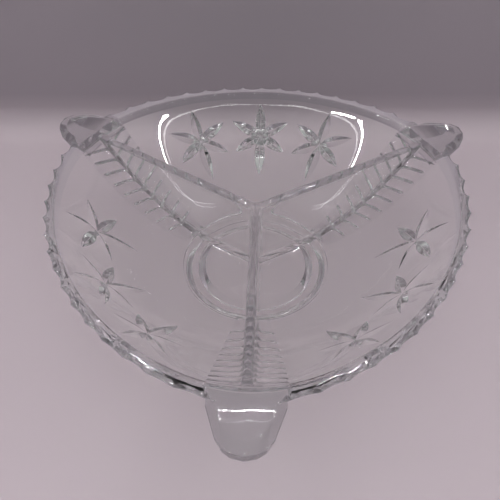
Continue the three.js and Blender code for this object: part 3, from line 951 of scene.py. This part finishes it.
def place_piece(node, skin, thirds=0, angle=SMOOTH_ANGLE):
    """One finished piece, turned by thirds about the bowl's axis, that stands for its CAD node."""
    made = mesh_object(f"{node}_glass", skin)
    made.data.transform(Matrix.Rotation(thirds * COMPARTMENT_SPAN, 4, "Z"))
    made.data.transform(Matrix.Translation(Vector((bowl_axis.x, bowl_axis.y, 0))))
    made.data.transform(Matrix.Scale(MM, 4))
    made.data.shade_smooth()
    made.data.set_sharp_from_angle(angle=angle)
    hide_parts(node)
    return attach(made, "root")


place_piece("foot_ring", foot_ring())
place_piece("bowl_floor", bowl_floor())
place_piece("divider_hub", divider_hub())

repeated = {
    "wall": carved(compartment_wall(), star_cutters()),
    "rim": rim_band(),
    "ribbed_panel": ribbed_panel(),
    "divider": divider_plate(),
    "handle": tab_handle(),
}
compartment_names = ["back", "left", "right"]
arm_names = ["front", "right", "left"]
for kind, skin in repeated.items():
    names = compartment_names if kind in ("wall", "rim") else arm_names
    for third, side in enumerate(names):
        place_piece(f"{kind}_{side}", skin, third, FACET_ANGLE if kind == "handle" else SMOOTH_ANGLE)


# Card, lamp, room and camera
scene = bpy.context.scene


def ramp_node(nodes, stops):
    """Colour ramp through stops, each a place from 0 to 1 and a colour."""
    ramp = nodes.new("ShaderNodeValToRGB")
    while len(ramp.color_ramp.elements) < len(stops):
        ramp.color_ramp.elements.new(0.5)
    for element, (place_at, colour) in zip(ramp.color_ramp.elements, stops):
        element.position = place_at
        element.color = (*colour, 1)
    return ramp


def card_material():
    """Pale matt card, with painted shade that makes it darker where it stands up, and clear from behind so
    that every side can be seen.
    """
    material = bpy.data.materials.new("card")
    material.use_nodes = True
    nodes, links = material.node_tree.nodes, material.node_tree.links
    shader = nodes["Principled BSDF"]
    shader.inputs["Roughness"].default_value = CARD_ROUGHNESS
    shader.inputs["Specular IOR Level"].default_value = CARD_GLOSS
    place = nodes.new("ShaderNodeTexCoord")
    axes = nodes.new("ShaderNodeSeparateXYZ")
    rise = nodes.new("ShaderNodeMapRange")
    rise.inputs["From Max"].default_value = CARD_SHADE_HEIGHT
    # Painted shade: the colour goes darker from the lying card to the standing card
    shade = ramp_node(nodes, [(0.0, CARD_LYING), (1.0, CARD_STANDING_PAINTED_SHADE)])
    links.new(place.outputs["Object"], axes.inputs["Vector"])
    links.new(axes.outputs["Z"], rise.inputs["Value"])
    links.new(rise.outputs["Result"], shade.inputs["Fac"])
    links.new(shade.outputs["Color"], shader.inputs["Base Color"])
    clear = nodes.new("ShaderNodeBsdfTransparent")
    side = nodes.new("ShaderNodeNewGeometry")
    mix = nodes.new("ShaderNodeMixShader")
    links.new(side.outputs["Backfacing"], mix.inputs[0])
    links.new(shader.outputs["BSDF"], mix.inputs[1])
    links.new(clear.outputs["BSDF"], mix.inputs[2])
    links.new(mix.outputs["Shader"], nodes["Material Output"].inputs["Surface"])
    return material


def sweep():
    """Pale sheet of card that lies under the bowl and bends up close behind it."""
    line = [(CARD_FRONT, 0.0)]
    for turn in np.linspace(0, math.pi / 2, CARD_BEND_POINTS):
        line.append((CARD_BACK - CARD_BEND * (1 - math.sin(turn)), CARD_BEND * (1 - math.cos(turn))))
    line.append((CARD_BACK, CARD_HEIGHT))
    sheet = bmesh.new()
    placed = Matrix.Translation((0, bowl_axis.y * MM, 0)) @ Matrix.Rotation(CAMERA_AZIMUTH, 4, "Z")
    sides = (-CARD_HALF_WIDTH, CARD_HALF_WIDTH)
    rows = [[sheet.verts.new(placed @ Vector((x, y, z))) for x in sides] for y, z in line]
    for a, b in zip(rows, rows[1:]):
        sheet.faces.new((a[0], a[1], b[1], b[0]))
    mesh = bpy.data.meshes.new("sweep")
    sheet.to_mesh(mesh)
    mesh.shade_smooth()
    mesh.materials.append(card_material())
    made = bpy.data.objects.new("sweep", mesh)
    scene.collection.objects.link(made)


def lamp_material():
    """Even glow of the whole tube."""
    area = 4 * math.pi ** 2 * LAMP_RADIUS * LAMP_TUBE
    material = bpy.data.materials.new("lamp")
    material.use_nodes = True
    nodes, links = material.node_tree.nodes, material.node_tree.links
    nodes.remove(nodes["Principled BSDF"])
    glow = nodes.new("ShaderNodeEmission")
    glow.inputs["Strength"].default_value = LAMP_POWER / (math.pi * area)
    links.new(glow.outputs["Emission"], nodes["Material Output"].inputs["Surface"])
    return material


def lamp_ring():
    """Ring of light, a thin tube over the bowl and towards the camera."""
    ring = bmesh.new()
    rows = []
    for span in range(LAMP_SPANS):
        turn = 2 * math.pi * span / LAMP_SPANS
        row = []
        for side in range(LAMP_SIDES):
            lean = 2 * math.pi * side / LAMP_SIDES
            reach = LAMP_RADIUS + LAMP_TUBE * math.cos(lean)
            height = LAMP_TUBE * math.sin(lean)
            row.append(ring.verts.new((reach * math.cos(turn), reach * math.sin(turn), height)))
        rows.append(row)
    for span in range(LAMP_SPANS):
        near, far = rows[span], rows[(span + 1) % LAMP_SPANS]
        for side in range(LAMP_SIDES):
            after = (side + 1) % LAMP_SIDES
            ring.faces.new((near[side], far[side], far[after], near[after]))
    mesh = bpy.data.meshes.new("ring_lamp")
    ring.to_mesh(mesh)
    mesh.materials.append(lamp_material())
    made = bpy.data.objects.new("ring_lamp", mesh)
    made.location = (LAMP_SIDE, bowl_axis.y * MM + LAMP_FRONT, LAMP_HEIGHT)
    made.visible_camera = False
    scene.collection.objects.link(made)


def room_light():
    """Room that is dim at table level and brighter above, and that shows the card's tone beyond the card."""
    world = bpy.data.worlds.new("room")
    world.use_nodes = True
    nodes, links = world.node_tree.nodes, world.node_tree.links
    place = nodes.new("ShaderNodeTexCoord")
    axes = nodes.new("ShaderNodeSeparateXYZ")
    ramp = ramp_node(nodes, ROOM_TONES)
    links.new(place.outputs["Generated"], axes.inputs["Vector"])
    links.new(axes.outputs["Z"], ramp.inputs["Fac"])
    links.new(ramp.outputs["Color"], nodes["Background"].inputs["Color"])
    nodes["Background"].inputs["Strength"].default_value = ROOM_STRENGTH
    beyond = nodes.new("ShaderNodeBackground")
    beyond.inputs["Color"].default_value = (*BEYOND_CARD, 1)
    rays = nodes.new("ShaderNodeLightPath")
    mix = nodes.new("ShaderNodeMixShader")
    links.new(rays.outputs["Is Camera Ray"], mix.inputs[0])
    links.new(nodes["Background"].outputs["Background"], mix.inputs[1])
    links.new(beyond.outputs["Background"], mix.inputs[2])
    links.new(mix.outputs["Shader"], nodes["World Output"].inputs["Surface"])
    scene.world = world


def camera():
    target = Vector(CAMERA_TARGET) + Vector((bowl_axis.x, bowl_axis.y, 0))
    back = Vector((
        math.sin(CAMERA_AZIMUTH) * math.cos(CAMERA_ELEVATION),
        -math.cos(CAMERA_AZIMUTH) * math.cos(CAMERA_ELEVATION),
        math.sin(CAMERA_ELEVATION),
    ))
    data = bpy.data.cameras.new("camera")
    data.lens = CAMERA_LENS
    data.clip_start = CAMERA_NEAR * MM
    made = bpy.data.objects.new("camera", data)
    made.location = (target + back * CAMERA_DISTANCE) * MM
    made.rotation_mode = "QUATERNION"
    made.rotation_quaternion = (-back).to_track_quat("-Z", "Y")
    scene.collection.objects.link(made)
    scene.camera = made


sweep()
lamp_ring()
room_light()
camera()
scene.view_settings.view_transform = "Standard"
scene.cycles.max_bounces = LIGHT_BOUNCES
scene.cycles.transmission_bounces = LIGHT_BOUNCES
scene.cycles.glossy_bounces = GLOSSY_BOUNCES
scene.cycles.transparent_max_bounces = CLEAR_BOUNCES
scene.cycles.caustics_reflective = True
scene.cycles.caustics_refractive = False
